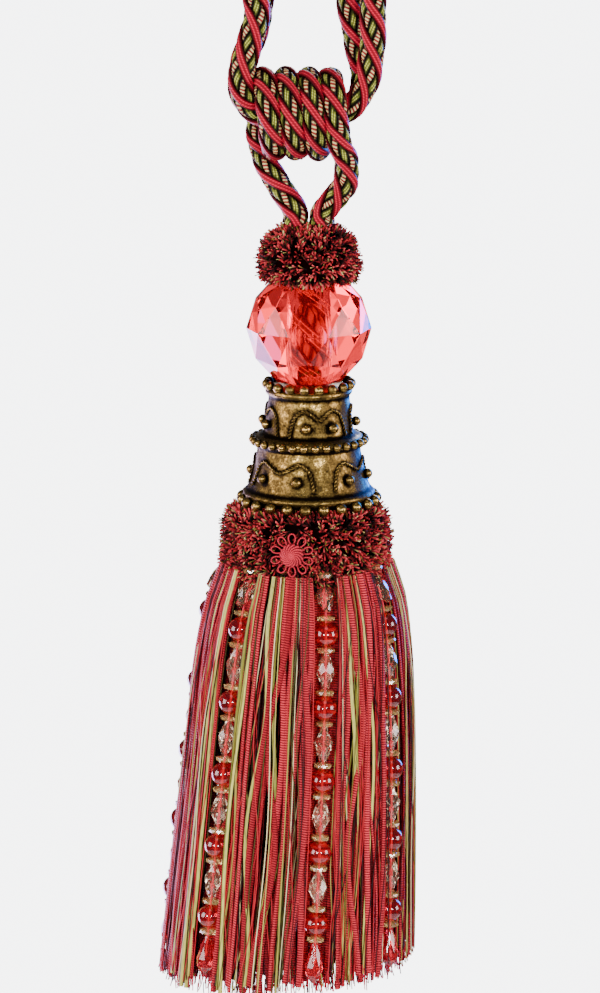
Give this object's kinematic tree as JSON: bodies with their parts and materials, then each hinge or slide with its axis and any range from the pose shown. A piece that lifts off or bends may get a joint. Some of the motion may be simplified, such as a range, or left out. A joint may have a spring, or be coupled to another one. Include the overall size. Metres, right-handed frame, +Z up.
{
  "type": "curtain tieback tassel",
  "caption": "Hanging curtain tieback: twisted rope loops and a wound knot over a tassel with pile ruffs, a faceted ball, a beaded brass-look cap, a long fringe and bead strings",
  "frame": {"origin": "midway between the two hanging loops, at the height where the inside tops of the loops bear on what holds them", "axes": "+Z up, along the tassel; +X to the right seen from the front; the front, with the rosette, faces -Y"},
  "size_m": [0.0935, 0.0862, 0.4051],
  "materials": {
    "rope": "satin red cords with olive and checked strands",
    "pile": "cut pile in reds with olive flecks",
    "ball": "clear coral acrylic with flat facets and a faint rainbow coat",
    "cap": "aged brass look, dark in the hollows",
    "rosette": "wrapped satin cord",
    "fringe": "ribbed red tapes with olive ribbons and fine threads",
    "beads": "clear and red faceted beads with gold-coloured spacers"
  },
  "bodies": {
    "root": {"long_rope": "rope", "hanging_rope": "rope", "upper_ruff": "pile", "ball": "ball", "stem_rope": "rope", "cap": "cap", "lower_ruff": "pile", "rosette": "rosette", "skirt": "fringe", "bead_string_1": "beads", "bead_string_2": "beads", "bead_string_3": "beads", "bead_string_4": "beads", "bead_string_5": "beads", "bead_string_6": "beads", "bead_string_7": "beads"}
  },
  "joints": []
}
